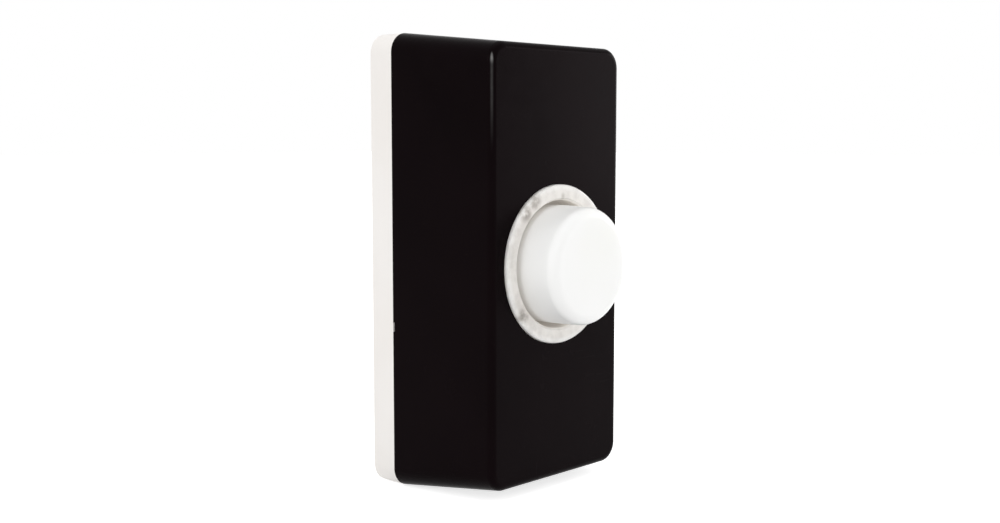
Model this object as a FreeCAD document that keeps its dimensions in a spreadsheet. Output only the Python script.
import FreeCAD, Part
import math
import os
from dataclasses import dataclass

import Sketcher

# Surface-mounted doorbell push button with a lit ring.
# The wall is the plane y = 0, the front looks towards -Y and the long side runs up +Z.
# The origin is the centre of the back plate's wall face. Lengths are millimetres.
# A depth is a distance in front of the wall or, inside a piece, in front of that piece's back.

SIZES = {
    # Outline of the housing
    "plate_width": 31.7,
    "plate_height": 66.0,
    "plate_depth": 4.5,
    "corner_radius": 2.9,
    "cover_depth": 17.8,
    "cover_inset": 1.9,
    "front_fillet": 1.0,
    "plate_edge_round": 0.25,
    # Walls and the joint between plate and cover
    "side_wall": 1.8,
    "front_wall": 2.0,
    "cavity_corner": 2.4,
    "floor_thickness": 2.0,
    "lip_wall": 1.2,
    "lip_clearance": 0.2,
    "lip_height": 3.6,
    "nib_width": 8.0,
    "nib_proud": 0.5,
    "nib_height": 1.2,
    "nib_setback": 0.8,
    "nib_clearance": 0.15,
    "pry_notch_width": 6.0,
    "pry_notch_depth": 1.0,
    "pry_notch_height": 1.2,
    "side_mark_width": 1.4,
    "side_mark_depth": 0.3,
    "side_mark_height": 0.8,
    "side_mark_drop": 9.25,
    # Holes in the plate
    "screw_margin": 9.0,
    "screw_hole": 4.2,
    "countersink": 1.9,
    "screw_boss": 10.0,
    "screw_boss_height": 1.5,
    "cable_hole": 6.0,
    "cable_drop": 9.5,
    # Bezel ring
    "ring_margin": 2.52,
    "ring_land": 2.2,
    "ring_proud": 0.5,
    "ring_recess": 0.8,
    "ring_clearance": 0.1,
    "ring_edge_round": 0.35,
    "ring_inner_bevel": 0.3,
    "sleeve_wall": 0.9,
    "sleeve_length": 4.9,
    "retainer_rim": 1.6,
    "retainer_thickness": 0.4,
    "retainer_slot": 1.0,
    "retainer_slot_length": 0.8,
    # Push button
    "cap_clearance": 0.73,
    "cap_proud": 5.8,
    "cap_inset": 0.2,
    "cap_edge_round": 1.5,
    "cap_wall": 1.4,
    "cap_front_wall": 1.6,
    "flange_overlap": 0.89,
    "flange_thickness": 1.0,
    "key_width": 2.0,
    "key_length": 2.9,
    "key_side_clearance": 0.15,
    "key_end_clearance": 0.3,
    "rib_thickness": 1.0,
    "rib_height": 6.0,
    "stem_diameter": 5.0,
    "travel": 2.2,
    # Contacts
    "pad_height": 3.0,
    "strip_thickness": 0.5,
    "strip_width": 4.0,
    "strip_margin": 4.1,
    "finger_clearance": 1.1,
    "finger_width": 4.5,
    "contact_gap": 0.05,
    "bridge_thickness": 0.5,
    "bridge_width": 4.5,
    "bridge_overlap": 2.4,
    "bridge_end_round": 0.6,
    "rivet_shank": 1.6,
    "rivet_head": 3.0,
    "rivet_head_height": 0.5,
    "rivet_grip": 3.0,
    "strip_rivet_setback": 9.0,
    # Terminals
    "terminal_setback": 6.5,
    "post_diameter": 6.4,
    "insert_diameter": 4.4,
    "insert_length": 4.2,
    "thread_diameter": 3.0,
    "thread_clearance": 0.03,
    "thread_length": 4.6,
    "eye_diameter": 6.0,
    "washer_side": 5.4,
    "washer_thickness": 0.6,
    "washer_corner": 0.5,
    "washer_hole": 3.3,
    "screw_head": 5.2,
    "screw_head_height": 1.8,
    "screw_head_round": 0.4,
    "slot_width": 0.8,
    "slot_depth": 0.9,
    # Return spring
    "spring_diameter": 5.4,
    "spring_wire": 0.45,
    "spring_turns": 4.5,
    "spigot_diameter": 3.6,
    "spigot_height": 1.6,
    "spigot_round": 0.3,
    # Lamp
    "lamp_setback": 9.0,
    "lamp_diameter": 4.0,
    "lamp_seat_gap": 0.05,
    "lamp_end_margin": 1.8,
    "lamp_cap_length": 3.2,
    "lamp_nose_length": 0.8,
    "lamp_nose_diameter": 1.6,
    "glass_wall": 0.4,
    "glass_cap_wall": 0.2,
    "glass_socket_depth": 1.8,
    "filament_diameter": 0.15,
    "clip_side_gap": 0.1,
    "clip_thickness": 0.5,
    "clip_height": 3.4,
}

# Depths in front of the wall, worked out from the sizes.
FRONT_FACE = "(sizes.plate_depth + sizes.cover_depth)"
FRONT_WALL_BACK = f"({FRONT_FACE} - sizes.front_wall)"
RING_SEAT = f"({FRONT_FACE} - sizes.ring_recess)"
RING_FACE = f"({FRONT_FACE} + sizes.ring_proud)"
SLEEVE_END = f"({RING_SEAT} - sizes.sleeve_length)"
FLANGE_BACK = f"({SLEEVE_END} - sizes.flange_thickness)"
CAP_FACE = f"({RING_FACE} + sizes.cap_proud)"
CAP_CEILING = f"({CAP_FACE} - sizes.cap_front_wall)"
PAD_FACE = "(sizes.floor_thickness + sizes.pad_height)"
STRIP_FACE = f"({PAD_FACE} + sizes.strip_thickness)"
WASHER_FACE = f"({STRIP_FACE} + sizes.washer_thickness)"
BRIDGE_BACK = f"({STRIP_FACE} + sizes.contact_gap + sizes.travel)"
STEM_END = f"({BRIDGE_BACK} + sizes.bridge_thickness)"
LAMP_AXIS = f"({STRIP_FACE} + sizes.lamp_seat_gap + sizes.lamp_diameter / 2)"

# Heights above the middle of the housing, worked out from the sizes.
SCREW_UP = "(sizes.plate_height / 2 - sizes.screw_margin)"
LAMP_UP = f"({SCREW_UP} - sizes.lamp_setback)"
RIVET_UP = f"({LAMP_UP} - sizes.strip_rivet_setback)"
TERMINAL_DROP = f"({SCREW_UP} - sizes.terminal_setback)"

# Widths and diameters worked out from the sizes.
CAVITY_WIDTH = "(sizes.plate_width - 2 * sizes.side_wall)"
CAVITY_HEIGHT = "(sizes.plate_height - 2 * sizes.side_wall)"
CAVITY_DEPTH = "(sizes.cover_depth - sizes.front_wall)"
LIP_INSET = "(sizes.side_wall + sizes.lip_clearance)"
LIP_WIDTH = f"(sizes.plate_width - 2 * {LIP_INSET})"
LIP_HEIGHT_OVERALL = f"(sizes.plate_height - 2 * {LIP_INSET})"
LIP_CORNER = "(sizes.cavity_corner - sizes.lip_clearance)"
TRAY_WIDTH = f"({LIP_WIDTH} - 2 * sizes.lip_wall)"
TRAY_HEIGHT = f"({LIP_HEIGHT_OVERALL} - 2 * sizes.lip_wall)"
TRAY_CORNER = f"({LIP_CORNER} - sizes.lip_wall)"
NIB_SPAN = f"({LIP_HEIGHT_OVERALL} + 2 * sizes.nib_proud)"
NIB_DEPTH = "(sizes.plate_depth + sizes.lip_height - sizes.nib_setback - sizes.nib_height)"
RING_DIAMETER = "(sizes.plate_width - 2 * sizes.cover_inset - 2 * sizes.ring_margin)"
RING_BORE = f"({RING_DIAMETER} - 2 * sizes.ring_land)"
SLEEVE_DIAMETER = f"({RING_BORE} + 2 * sizes.sleeve_wall)"
RETAINER_DIAMETER = f"({SLEEVE_DIAMETER} + 2 * sizes.retainer_rim)"
CAP_DIAMETER = f"({RING_BORE} - 2 * sizes.cap_clearance)"
CAP_INNER = f"({CAP_DIAMETER} - 2 * sizes.cap_wall)"
FLANGE_DIAMETER = f"({RING_BORE} + 2 * sizes.flange_overlap)"
STRIP_ACROSS = f"({TRAY_WIDTH} / 2 - sizes.strip_margin)"
FINGER_TIP = "(sizes.spring_diameter / 2 + sizes.finger_clearance)"
BRIDGE_LENGTH = f"(2 * ({FINGER_TIP} + sizes.bridge_overlap))"
CLIP_OFFSET = "(sizes.lamp_diameter / 2 + sizes.clip_side_gap + sizes.clip_thickness / 2)"
STRIP_TOP = f"({LAMP_UP} + {CLIP_OFFSET} + sizes.clip_thickness / 2)"
GLASS_DIAMETER = "(sizes.lamp_diameter - 2 * sizes.glass_cap_wall)"
STRIP_OUTER_EDGE = f"({STRIP_ACROSS} + sizes.strip_width / 2)"
LAMP_HALF_LENGTH = f"({STRIP_OUTER_EDGE} + sizes.lamp_end_margin - sizes.lamp_nose_length)"
LAMP_CAP_MOUTH = f"({LAMP_HALF_LENGTH} - sizes.lamp_cap_length)"
LAMP_SOCKET_END = f"({LAMP_CAP_MOUTH} + sizes.glass_socket_depth)"

# The sides lean in by the same slope outside, inside and on the locating lip.
SIDE_DRAFT = "-atan(sizes.cover_inset / sizes.cover_depth)"
CAP_DRAFT = "-atan(sizes.cap_inset / sizes.cap_proud)"

SIDES = {"left": -1, "right": 1}
RETAINER_SLOTS = 12
SKETCH_ORIGIN = FreeCAD.Vector(0, 0, 0)
SKETCH_NORMAL = FreeCAD.Vector(0, 0, 1)
FORWARD = FreeCAD.Rotation(FreeCAD.Vector(1, 0, 0), 90)
UPRIGHT = FORWARD.inverted()
ACROSS = FreeCAD.Rotation(FreeCAD.Vector(0, 1, 0), 90)
TOUCH = 1e-4

# Handles that a sketch constraint takes: the sketch's own origin, and the points of a curve.
ROOT, START, END, CENTRE = -1, *range(1, 4)

document = FreeCAD.newDocument("doorbell_push")
sheet = document.addObject("Spreadsheet::Sheet", "sizes")


def fill_sheet():
    """Write the driving sizes into the sheet, one alias a row."""
    for row, (alias, number) in enumerate(SIZES.items(), start=1):
        sheet.set(f"A{row}", alias)
        sheet.set(f"B{row}", str(number))
        sheet.setAlias(f"B{row}", alias)
    document.recompute()


def value(expression):
    """Return the number that a formula of sheet sizes has now."""
    return float(sheet.evalExpression(expression))


def dimension(sketch, constraint, expression):
    """Add a dimension to a sketch and bind it to a formula."""
    index = sketch.addConstraint(constraint)
    sketch.setExpression(f"Constraints[{index}]", expression)


@dataclass(frozen=True)
class Disc:
    """A circle centred on its sketch's origin."""

    diameter: str

    def draw(self, sketch):
        size = value(self.diameter)
        circle = sketch.addGeometry(Part.Circle(SKETCH_ORIGIN, SKETCH_NORMAL, size / 2))
        sketch.addConstraint(Sketcher.Constraint("Coincident", circle, CENTRE, ROOT, START))
        dimension(sketch, Sketcher.Constraint("Diameter", circle, size), self.diameter)


@dataclass(frozen=True)
class Block:
    """A rectangle centred on its sketch's origin."""

    width: str
    height: str

    def draw(self, sketch):
        width = value(self.width)
        height = value(self.height)
        signs = ((-1, -1), (1, -1), (1, 1), (-1, 1))
        corners = [FreeCAD.Vector(sx * width / 2, sy * height / 2, 0) for sx, sy in signs]
        sides = [
            sketch.addGeometry(Part.LineSegment(corners[k], corners[(k + 1) % len(corners)]))
            for k in range(len(corners))
        ]
        for k, side in enumerate(sides):
            following = sides[(k + 1) % len(sides)]
            sketch.addConstraint(Sketcher.Constraint("Coincident", side, END, following, START))
            sketch.addConstraint(Sketcher.Constraint("Vertical" if k % 2 else "Horizontal", side))
        sketch.addConstraint(
            Sketcher.Constraint("Symmetric", sides[0], START, sides[2], START, ROOT, START)
        )
        bottom, right = sides[:2]
        dimension(sketch, Sketcher.Constraint("DistanceX", bottom, START, bottom, END, width), self.width)
        dimension(sketch, Sketcher.Constraint("DistanceY", right, START, right, END, height), self.height)


@dataclass(frozen=True)
class Rounded:
    """A rectangle with round corners, centred on its sketch's origin."""

    width: str
    height: str
    corner: str

    def draw(self, sketch):
        width = value(self.width)
        height = value(self.height)
        corner = value(self.corner)
        signs = ((1, 1), (-1, 1), (-1, -1), (1, -1))
        quarter = math.pi / 2
        arcs = []
        for turn, (sx, sy) in enumerate(signs):
            centre = FreeCAD.Vector(sx * (width / 2 - corner), sy * (height / 2 - corner), 0)
            circle = Part.Circle(centre, SKETCH_NORMAL, corner)
            first = turn * quarter
            arcs.append(sketch.addGeometry(Part.ArcOfCircle(circle, first, first + quarter)))
        lines = []
        for turn, arc in enumerate(arcs):
            following = arcs[(turn + 1) % len(arcs)]
            ends = sketch.getPoint(arc, END), sketch.getPoint(following, START)
            line = sketch.addGeometry(Part.LineSegment(*ends))
            sketch.addConstraint(Sketcher.Constraint("Tangent", arc, END, line, START))
            sketch.addConstraint(Sketcher.Constraint("Tangent", line, END, following, START))
            sketch.addConstraint(Sketcher.Constraint("Vertical" if turn % 2 else "Horizontal", line))
            lines.append(line)
        for arc in arcs[1:]:
            sketch.addConstraint(Sketcher.Constraint("Equal", arcs[0], arc))
        sketch.addConstraint(
            Sketcher.Constraint("Symmetric", arcs[0], CENTRE, arcs[2], CENTRE, ROOT, START)
        )
        top, left, bottom, right = lines
        dimension(sketch, Sketcher.Constraint("Radius", arcs[0], corner), self.corner)
        dimension(sketch, Sketcher.Constraint("DistanceX", left, START, right, START, width), self.width)
        dimension(sketch, Sketcher.Constraint("DistanceY", bottom, START, top, START, height), self.height)


class Piece:
    """One moulded, turned or stamped piece, built from sketches that lie parallel to the wall."""

    def __init__(self, name, depth="0", across="0", up="0"):
        self.body = document.addObject("PartDesign::Body", name)
        self.body.Label = name
        self.body.setExpression(".Placement.Base.x", across)
        self.body.setExpression(".Placement.Base.y", f"-({depth})")
        self.body.setExpression(".Placement.Base.z", up)

    def _sketch(self, name, outline, depth, across, up):
        sketch = self.body.newObject("Sketcher::SketchObject", f"{self.body.Name}_{name}_sketch")
        planes = [item for item in self.body.Origin.OriginFeatures if item.Role == "XZ_Plane"]
        sketch.AttachmentSupport = (planes[0], [""])
        sketch.MapMode = "FlatFace"
        sketch.setExpression(".AttachmentOffset.Base.x", across)
        sketch.setExpression(".AttachmentOffset.Base.y", up)
        sketch.setExpression(".AttachmentOffset.Base.z", depth)
        outline.draw(sketch)
        return sketch

    def _extrude(self, kind, name, outline, length, depth, across, up, draft):
        sketch = self._sketch(name, outline, depth, across, up)
        feature = self.body.newObject(f"PartDesign::{kind}", f"{self.body.Name}_{name}")
        feature.Profile = sketch
        feature.setExpression("Length", length)
        if draft:
            feature.setExpression("TaperAngle", draft)
        return feature

    def pad(self, name, outline, length, depth="0", across="0", up="0", draft=None):
        """Add material from a depth forwards."""
        feature = self._extrude("Pad", name, outline, length, depth, across, up, draft)
        document.recompute()
        return feature

    def cut(self, name, outline, length, depth="0", across="0", up="0", draft=None):
        """Take material away from a depth forwards."""
        before = self.body.Tip.Shape.Volume
        feature = self._extrude("Pocket", name, outline, length, depth, across, up, draft)
        feature.Reversed = True
        document.recompute()
        if feature.Shape.Volume >= before:
            raise RuntimeError(f"{feature.Name} cuts nothing")
        return feature

    def soften(self, name, kind, size, edges):
        """Round or bevel the edges of the newest feature that a test picks."""
        base = self.body.Tip
        picked = [f"Edge{k}" for k, edge in enumerate(base.Shape.Edges, start=1) if edges(edge)]
        if not picked:
            raise RuntimeError(f"{self.body.Name}_{name} finds no edge")
        feature = self.body.newObject(f"PartDesign::{kind}", f"{self.body.Name}_{name}")
        feature.Base = (base, picked)
        feature.setExpression("Radius" if kind == "Fillet" else "Size", size)
        document.recompute()
        return feature


def at_depth(depth, diameter=None, across="0", up="0"):
    """Make a test for edges that lie at one depth and, if a diameter is given, on that circle."""
    plane = -value(depth)
    centre = FreeCAD.Vector(value(across), plane, value(up))

    def test(edge):
        points = edge.discretize(Number=5)
        if any(abs(point.y - plane) > TOUCH for point in points):
            return False
        if diameter is None:
            return True
        radius = value(diameter) / 2
        return all(abs(point.distanceToPoint(centre) - radius) < TOUCH for point in points)

    return test


def runs_forward(edge):
    """Tell whether an edge's two ends lie at different depths."""
    first, last = (vertex.Point for vertex in edge.Vertexes)
    return abs(first.y - last.y) > TOUCH


def make_back_plate():
    """White base: outline with a rim, a locating lip with two snap nibs, bosses, posts and holes."""
    plate = Piece("back_plate")
    plate.pad("outline", Rounded("sizes.plate_width", "sizes.plate_height", "sizes.corner_radius"),
              "sizes.plate_depth")
    plate.soften("wall_edge", "Fillet", "sizes.plate_edge_round", at_depth("0"))
    lip = Rounded(LIP_WIDTH, LIP_HEIGHT_OVERALL, LIP_CORNER)
    plate.pad("lip", lip, "sizes.lip_height", depth="sizes.plate_depth", draft=SIDE_DRAFT)
    plate.pad("nibs", Block("sizes.nib_width", NIB_SPAN), "sizes.nib_height", depth=NIB_DEPTH)
    tray_depth = "(sizes.plate_depth + sizes.lip_height - sizes.floor_thickness)"
    plate.cut("tray", Rounded(TRAY_WIDTH, TRAY_HEIGHT, TRAY_CORNER), tray_depth,
              depth="sizes.floor_thickness")
    plate.pad("spigot", Disc("sizes.spigot_diameter"), "sizes.spigot_height", depth="sizes.floor_thickness")
    spigot_face = "(sizes.floor_thickness + sizes.spigot_height)"
    plate.soften("spigot_round", "Fillet", "sizes.spigot_round",
                 at_depth(spigot_face, "sizes.spigot_diameter"))
    plate.cut("cable_hole", Disc("sizes.cable_hole"), "sizes.floor_thickness", up="-sizes.cable_drop")
    boss_face = "(sizes.floor_thickness + sizes.screw_boss_height)"
    for end, sign in (("lower", -1), ("upper", 1)):
        height = f"{sign} * {SCREW_UP}"
        plate.pad(f"{end}_boss", Disc("sizes.screw_boss"), boss_face, up=height)
        plate.cut(f"{end}_hole", Disc("sizes.screw_hole"), boss_face, up=height)
        plate.soften(f"{end}_countersink", "Chamfer", "sizes.countersink",
                     at_depth(boss_face, "sizes.screw_hole", up=height))
    for side, sign in SIDES.items():
        across = f"{sign} * {STRIP_ACROSS}"
        for spot, height in (("terminal", f"-{TERMINAL_DROP}"), ("rivet", RIVET_UP), ("lamp", LAMP_UP)):
            plate.pad(f"{side}_{spot}_post", Disc("sizes.post_diameter"), PAD_FACE, across=across, up=height)
        plate.cut(f"{side}_insert_hole", Disc("sizes.insert_diameter"), "sizes.insert_length",
                  depth=f"{PAD_FACE} - sizes.insert_length", across=across, up=f"-{TERMINAL_DROP}")
        plate.cut(f"{side}_rivet_hole", Disc("sizes.rivet_shank"), "sizes.rivet_grip",
                  depth=f"{PAD_FACE} - sizes.rivet_grip", across=across, up=RIVET_UP)


def make_front_cover():
    """Black shell with drafted sides, a recess and hole for the ring, and undercuts for the snap nibs."""
    cover = Piece("front_cover", depth="sizes.plate_depth")
    cover.pad("outside", Block("sizes.plate_width", "sizes.plate_height"), "sizes.cover_depth",
              draft=SIDE_DRAFT)
    cover.soften("corners", "Fillet", "sizes.corner_radius", runs_forward)
    cover.soften("front_edge", "Fillet", "sizes.front_fillet", at_depth("sizes.cover_depth"))
    cover.cut("cavity", Rounded(CAVITY_WIDTH, CAVITY_HEIGHT, "sizes.cavity_corner"), CAVITY_DEPTH,
              draft=SIDE_DRAFT)
    recess_diameter = f"({RING_DIAMETER} + 2 * sizes.ring_clearance)"
    cover.cut("ring_recess", Disc(recess_diameter), "sizes.ring_recess",
              depth="sizes.cover_depth - sizes.ring_recess")
    hole_diameter = f"({SLEEVE_DIAMETER} + 2 * sizes.ring_clearance)"
    cover.cut("ring_hole", Disc(hole_diameter), "sizes.front_wall", depth=CAVITY_DEPTH)
    undercut = Block("sizes.nib_width + 2 * sizes.nib_clearance", f"{NIB_SPAN} + 2 * sizes.nib_clearance")
    cover.cut("nib_undercuts", undercut, "sizes.nib_height + 2 * sizes.nib_clearance",
              depth=f"{NIB_DEPTH} - sizes.plate_depth - sizes.nib_clearance")
    cover.cut("pry_notch", Block("sizes.pry_notch_width", "2 * sizes.pry_notch_height"),
              "sizes.pry_notch_depth", up="-sizes.plate_height / 2")
    cover.cut("side_mark", Block("2 * sizes.side_mark_height", "sizes.side_mark_width"),
              "sizes.side_mark_depth", across="-sizes.plate_width / 2", up="-sizes.side_mark_drop")


def make_bezel_ring():
    """Translucent ring: a flange let into the cover's front, and a sleeve with two key slots behind."""
    ring = Piece("bezel_ring", depth=SLEEVE_END)
    flange_thickness = "(sizes.ring_recess + sizes.ring_proud)"
    ring_length = f"(sizes.sleeve_length + {flange_thickness})"
    ring.pad("sleeve", Disc(SLEEVE_DIAMETER), "sizes.sleeve_length")
    ring.pad("flange", Disc(RING_DIAMETER), flange_thickness, depth="sizes.sleeve_length")
    ring.cut("bore", Disc(RING_BORE), ring_length)
    slot_width = "sizes.key_width + 2 * sizes.key_side_clearance"
    slot = Block(f"{SLEEVE_DIAMETER} + 2 * sizes.sleeve_wall", slot_width)
    ring.cut("key_slots", slot, "sizes.key_length + sizes.key_end_clearance")
    outer_edge = at_depth(ring_length, RING_DIAMETER)
    ring.soften("outer_round", "Fillet", "sizes.ring_edge_round", outer_edge)
    ring.soften("inner_bevel", "Chamfer", "sizes.ring_inner_bevel", at_depth(ring_length, RING_BORE))


def make_ring_retainer():
    """Push-on spring ring that grips the sleeve behind the front wall."""
    retainer = Piece("ring_retainer", depth=f"{FRONT_WALL_BACK} - sizes.retainer_thickness")
    retainer.pad("disc", Disc(RETAINER_DIAMETER), "sizes.retainer_thickness")
    retainer.cut("hole", Disc(SLEEVE_DIAMETER), "sizes.retainer_thickness")
    slot_middle = f"{SLEEVE_DIAMETER} / 2"
    first = retainer.cut("slot", Block("2 * sizes.retainer_slot_length", "sizes.retainer_slot"),
                         "sizes.retainer_thickness", across=slot_middle)
    slots = retainer.body.newObject("PartDesign::PolarPattern", "ring_retainer_slots")
    slots.Originals = [first]
    axes = [item for item in retainer.body.Origin.OriginFeatures if item.Role == "Y_Axis"]
    slots.Axis = (axes[0], [""])
    slots.Occurrences = RETAINER_SLOTS
    retainer.body.Tip = slots


def make_push_button():
    """White cap with a skirt, a retaining flange with two keys, crossed ribs and the stem."""
    button = Piece("push_button", depth=STEM_END)
    flange_depth = f"({FLANGE_BACK} - {STEM_END})"
    sleeve_end = f"({SLEEVE_END} - {STEM_END})"
    ring_face = f"({RING_FACE} - {STEM_END})"
    ceiling = f"({CAP_CEILING} - {STEM_END})"
    cap_face = f"({CAP_FACE} - {STEM_END})"
    button.pad("flange", Disc(FLANGE_DIAMETER), "sizes.flange_thickness", depth=flange_depth)
    button.pad("skirt", Disc(CAP_DIAMETER), f"{ring_face} - {flange_depth}", depth=flange_depth)
    button.pad("cap", Disc(CAP_DIAMETER), "sizes.cap_proud", depth=ring_face, draft=CAP_DRAFT)
    button.soften("cap_round", "Fillet", "sizes.cap_edge_round", at_depth(cap_face))
    button.pad("keys", Block(FLANGE_DIAMETER, "sizes.key_width"), "sizes.key_length", depth=sleeve_end)
    button.cut("hollow", Disc(CAP_INNER), f"{ceiling} - {flange_depth}", depth=flange_depth)
    rib_span = f"({CAP_INNER} + sizes.cap_wall)"
    rib_depth = f"({ceiling} - sizes.rib_height)"
    button.pad("cross_rib", Block(rib_span, "sizes.rib_thickness"), "sizes.rib_height", depth=rib_depth)
    button.pad("upright_rib", Block("sizes.rib_thickness", rib_span), "sizes.rib_height", depth=rib_depth)
    button.pad("stem", Disc("sizes.stem_diameter"), ceiling)
    button.cut("rivet_hole", Disc("sizes.rivet_shank"), "sizes.rivet_grip")


def make_contact_bridge():
    """Brass plate across the stem's end that joins the two contact fingers."""
    bridge = Piece("contact_bridge", depth=BRIDGE_BACK)
    bridge.pad("plate", Rounded(BRIDGE_LENGTH, "sizes.bridge_width", "sizes.bridge_end_round"),
               "sizes.bridge_thickness")
    bridge.cut("rivet_hole", Disc("sizes.rivet_shank"), "sizes.bridge_thickness")


def make_bridge_rivet():
    """Rivet through the bridge into the stem, with its head towards the wall."""
    rivet = Piece("bridge_rivet", depth=f"{BRIDGE_BACK} - sizes.rivet_head_height")
    rivet.pad("head", Disc("sizes.rivet_head"), "sizes.rivet_head_height")
    rivet.pad("shank", Disc("sizes.rivet_shank"), "sizes.bridge_thickness + sizes.rivet_grip",
              depth="sizes.rivet_head_height")


def make_contact_strip(side, sign):
    """Brass stamping: a spine with a contact finger, a terminal eye and a lamp clip."""
    strip = Piece(f"contact_strip_{side}", depth=PAD_FACE, across=f"{sign} * {STRIP_ACROSS}")
    spine_height = f"({STRIP_TOP} + {TERMINAL_DROP})"
    strip.pad("spine", Block("sizes.strip_width", spine_height), "sizes.strip_thickness",
              up=f"({STRIP_TOP} - {TERMINAL_DROP}) / 2")
    strip.pad("eye", Disc("sizes.eye_diameter"), "sizes.strip_thickness", up=f"-{TERMINAL_DROP}")
    finger_length = f"({STRIP_ACROSS} - {FINGER_TIP})"
    strip.pad("finger", Block(finger_length, "sizes.finger_width"), "sizes.strip_thickness",
              across=f"{-sign} * {finger_length} / 2")
    clip_height = "(sizes.strip_thickness + sizes.clip_height)"
    for place, direction in (("lower", -1), ("upper", 1)):
        strip.pad(f"{place}_clip", Block("sizes.strip_width", "sizes.clip_thickness"), clip_height,
                  up=f"{LAMP_UP} + {direction} * {CLIP_OFFSET}")
    strip.cut("screw_hole", Disc("sizes.washer_hole"), "sizes.strip_thickness", up=f"-{TERMINAL_DROP}")
    strip.cut("rivet_hole", Disc("sizes.rivet_shank"), "sizes.strip_thickness", up=RIVET_UP)


def make_strip_rivet(side, sign):
    """Rivet that holds a contact strip to its post, with its head to the front."""
    rivet = Piece(f"strip_rivet_{side}", depth=f"{PAD_FACE} - sizes.rivet_grip",
                  across=f"{sign} * {STRIP_ACROSS}", up=RIVET_UP)
    shank_length = "(sizes.rivet_grip + sizes.strip_thickness)"
    rivet.pad("shank", Disc("sizes.rivet_shank"), shank_length)
    rivet.pad("head", Disc("sizes.rivet_head"), "sizes.rivet_head_height", depth=shank_length)


def make_terminal_insert(side, sign):
    """Threaded brass insert in the terminal boss, flush with the boss's face."""
    insert = Piece(f"terminal_insert_{side}", depth=f"{PAD_FACE} - sizes.insert_length",
                   across=f"{sign} * {STRIP_ACROSS}", up=f"-{TERMINAL_DROP}")
    insert.pad("body", Disc("sizes.insert_diameter"), "sizes.insert_length")
    insert.cut("bore", Disc("sizes.thread_diameter + 2 * sizes.thread_clearance"), "sizes.insert_length")


def make_clamp_washer(side, sign):
    """Square wire clamp under the head of a terminal screw."""
    washer = Piece(f"clamp_washer_{side}", depth=STRIP_FACE, across=f"{sign} * {STRIP_ACROSS}",
                   up=f"-{TERMINAL_DROP}")
    washer.pad("plate", Rounded("sizes.washer_side", "sizes.washer_side", "sizes.washer_corner"),
               "sizes.washer_thickness")
    washer.cut("hole", Disc("sizes.washer_hole"), "sizes.washer_thickness")


def make_terminal_screw(side, sign):
    """Slotted cheese-head screw that clamps one bell wire."""
    screw = Piece(f"terminal_screw_{side}", depth=f"{WASHER_FACE} - sizes.thread_length",
                  across=f"{sign} * {STRIP_ACROSS}", up=f"-{TERMINAL_DROP}")
    head_face = "(sizes.thread_length + sizes.screw_head_height)"
    screw.pad("thread", Disc("sizes.thread_diameter"), "sizes.thread_length")
    screw.pad("head", Disc("sizes.screw_head"), "sizes.screw_head_height", depth="sizes.thread_length")
    screw.soften("head_round", "Fillet", "sizes.screw_head_round", at_depth(head_face, "sizes.screw_head"))
    screw.cut("slot", Block("2 * sizes.screw_head", "sizes.slot_width"), "sizes.slot_depth",
              depth=f"{head_face} - sizes.slot_depth")


def cylinder(name, diameter, length, across, rotation=ACROSS):
    """Make a cylinder along the lamp's axis that starts at a place across the housing."""
    solid = document.addObject("Part::Cylinder", name)
    solid.setExpression("Radius", f"{diameter} / 2")
    solid.setExpression("Height", length)
    put_on_lamp_axis(solid, across, rotation)
    return solid


def put_on_lamp_axis(solid, across, rotation=ACROSS):
    """Place a primitive on the lamp's axis, turned to lie across the housing."""
    solid.Placement = FreeCAD.Placement(SKETCH_ORIGIN, rotation)
    solid.setExpression(".Placement.Base.x", across)
    solid.setExpression(".Placement.Base.y", f"-{LAMP_AXIS}")
    solid.setExpression(".Placement.Base.z", LAMP_UP)


def make_lamp_glass():
    """Glass tube of the lamp, with its ends inside the two caps."""
    length = f"2 * {LAMP_SOCKET_END}"
    left_end = f"-{LAMP_SOCKET_END}"
    inner_diameter = f"({GLASS_DIAMETER} - 2 * sizes.glass_wall)"
    outer = cylinder("lamp_glass_outside", GLASS_DIAMETER, length, left_end)
    inner = cylinder("lamp_glass_inside", inner_diameter, length, left_end)
    glass = document.addObject("Part::Cut", "lamp_glass")
    glass.Base = outer
    glass.Tool = inner


def make_lamp_cap(side, sign):
    """Metal cap of the lamp: a cup over the glass with a cone at its end."""
    name = f"lamp_cap_{side}"
    rotation = FreeCAD.Rotation(FreeCAD.Vector(0, 1, 0), sign * 90)
    barrel = cylinder(f"{name}_barrel", "sizes.lamp_diameter", "sizes.lamp_cap_length",
                      f"{sign} * {LAMP_CAP_MOUTH}", rotation)
    nose = document.addObject("Part::Cone", f"{name}_nose")
    nose.setExpression("Radius1", "sizes.lamp_diameter / 2")
    nose.setExpression("Radius2", "sizes.lamp_nose_diameter / 2")
    nose.setExpression("Height", "sizes.lamp_nose_length")
    put_on_lamp_axis(nose, f"{sign} * {LAMP_HALF_LENGTH}", rotation)
    outside = document.addObject("Part::Fuse", f"{name}_outside")
    outside.Base = barrel
    outside.Tool = nose
    socket = cylinder(f"{name}_socket", GLASS_DIAMETER, "sizes.glass_socket_depth",
                      f"{sign} * {LAMP_CAP_MOUTH}", rotation)
    cap = document.addObject("Part::Cut", name)
    cap.Base = outside
    cap.Tool = socket


def make_lamp_filament():
    """Fine wire between the two caps, inside the glass."""
    cylinder("lamp_filament", "sizes.filament_diameter", f"2 * {LAMP_SOCKET_END}", f"-{LAMP_SOCKET_END}")


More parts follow.
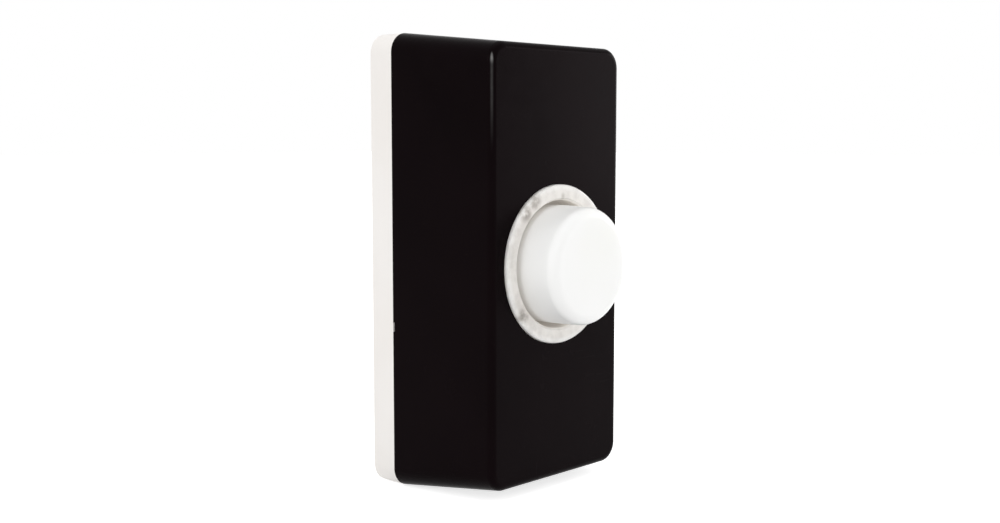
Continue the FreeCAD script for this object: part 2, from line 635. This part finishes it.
def make_return_spring():
    """Compression spring with ground ends, from the plate's floor to the bridge."""
    length = f"({BRIDGE_BACK} - sizes.floor_thickness)"
    middle_radius = "((sizes.spring_diameter - sizes.spring_wire) / 2)"
    path = document.addObject("Part::Helix", "return_spring_path")
    path.SegmentLength = 0
    path.setExpression("Radius", middle_radius)
    path.setExpression("Height", length)
    path.setExpression("Pitch", f"{length} / sizes.spring_turns")
    wire = document.addObject("Part::Circle", "return_spring_wire")
    wire.Placement = FreeCAD.Placement(SKETCH_ORIGIN, UPRIGHT)
    wire.setExpression("Radius", "sizes.spring_wire / 2")
    wire.setExpression(".Placement.Base.x", middle_radius)
    document.recompute()
    coil = document.addObject("Part::Sweep", "return_spring_coil")
    coil.Sections = [wire]
    coil.Spine = (path, [f"Edge{k}" for k in range(1, len(path.Shape.Edges) + 1)])
    coil.Solid = True
    coil.Frenet = True
    envelope = document.addObject("Part::Cylinder", "return_spring_envelope")
    envelope.setExpression("Radius", "sizes.spring_diameter")
    envelope.setExpression("Height", length)
    spring = document.addObject("Part::Common", "return_spring")
    spring.Base = coil
    spring.Tool = envelope
    spring.Placement = FreeCAD.Placement(SKETCH_ORIGIN, FORWARD)
    spring.setExpression(".Placement.Base.y", "-sizes.floor_thickness")


def check_objects():
    """Stop if any object of the document failed to build."""
    for item in document.Objects:
        if "Invalid" in item.State or "Error" in item.State:
            raise RuntimeError(f"{item.Name} did not build: {item.State}")


def export_nodes(nodes):
    """Write each node's shape to a file of its own name."""
    for node in nodes:
        shape = document.getObject(node).Shape
        if shape.isNull() or not shape.isValid() or len(shape.Solids) != 1:
            raise RuntimeError(f"{node} is not one valid solid")
        shape.exportStep(f"parts/{node}.step")
        print(f"{node}: {shape.Volume:.3f} mm3")


def main():
    os.makedirs("parts", exist_ok=True)
    fill_sheet()
    make_back_plate()
    make_front_cover()
    make_bezel_ring()
    make_ring_retainer()
    make_push_button()
    make_contact_bridge()
    make_bridge_rivet()
    make_return_spring()
    make_lamp_glass()
    make_lamp_filament()
    nodes = ["back_plate", "front_cover", "bezel_ring", "ring_retainer", "push_button",
             "contact_bridge", "bridge_rivet", "return_spring", "lamp_glass", "lamp_filament"]
    for side, sign in SIDES.items():
        make_contact_strip(side, sign)
        make_strip_rivet(side, sign)
        make_terminal_insert(side, sign)
        make_clamp_washer(side, sign)
        make_terminal_screw(side, sign)
        make_lamp_cap(side, sign)
        nodes += [f"{kind}_{side}" for kind in ("contact_strip", "strip_rivet", "terminal_insert",
                                                "clamp_washer", "terminal_screw", "lamp_cap")]
    document.recompute()
    check_objects()
    export_nodes(nodes)


main()
